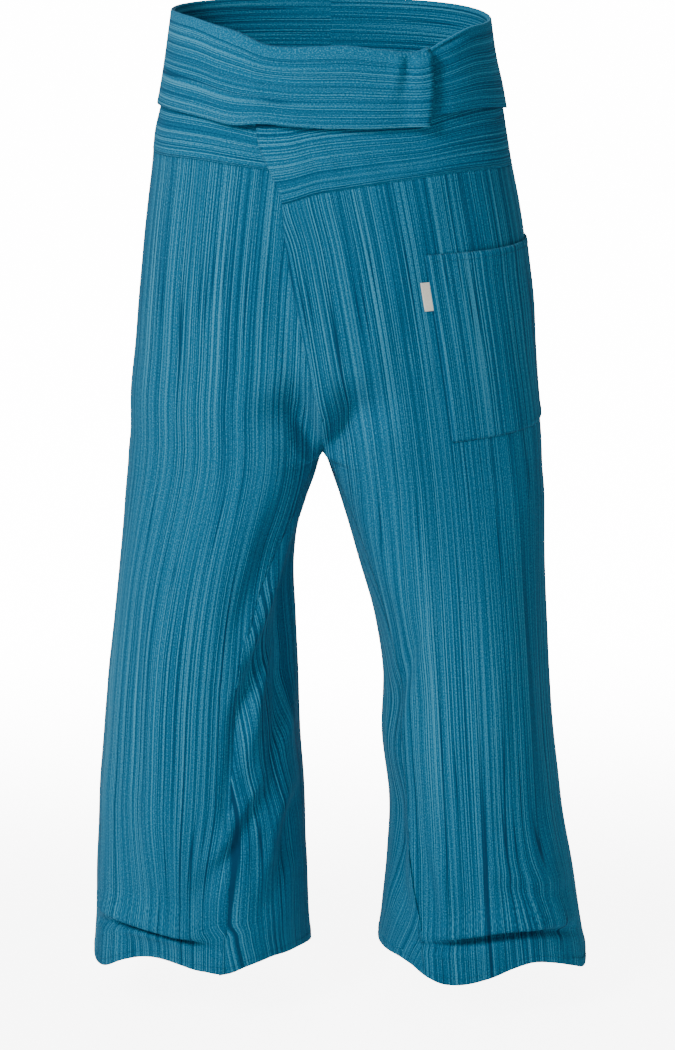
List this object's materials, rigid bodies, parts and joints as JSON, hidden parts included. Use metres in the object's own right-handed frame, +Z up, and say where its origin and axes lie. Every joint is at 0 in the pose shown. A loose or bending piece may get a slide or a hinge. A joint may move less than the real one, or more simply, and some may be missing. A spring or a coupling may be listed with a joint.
{
  "type": "thai fisherman pants",
  "caption": "Wide wrap trousers of striped cotton, worn and hollow, with a folded-down waistband, a crossed front pleat and a patch pocket.",
  "frame": {"origin": "middle of the waist, at the height of the tie, where the wearer holds the garment up", "axes": "+Z up towards the waist's top edge, -Y towards the front, +X towards the wearer's left"},
  "size_m": [0.5515, 0.2754, 1.0611],
  "materials": {
    "striped_cotton": "matte woven cotton, teal blue with fine irregular stripes",
    "label_ribbon": "matte woven ribbon, cream"
  },
  "bodies": {
    "root": {"waistband": "striped_cotton", "right_leg": "striped_cotton", "left_leg": "striped_cotton", "pocket": "striped_cotton", "tie": "striped_cotton", "label": "label_ribbon"}
  },
  "joints": []
}
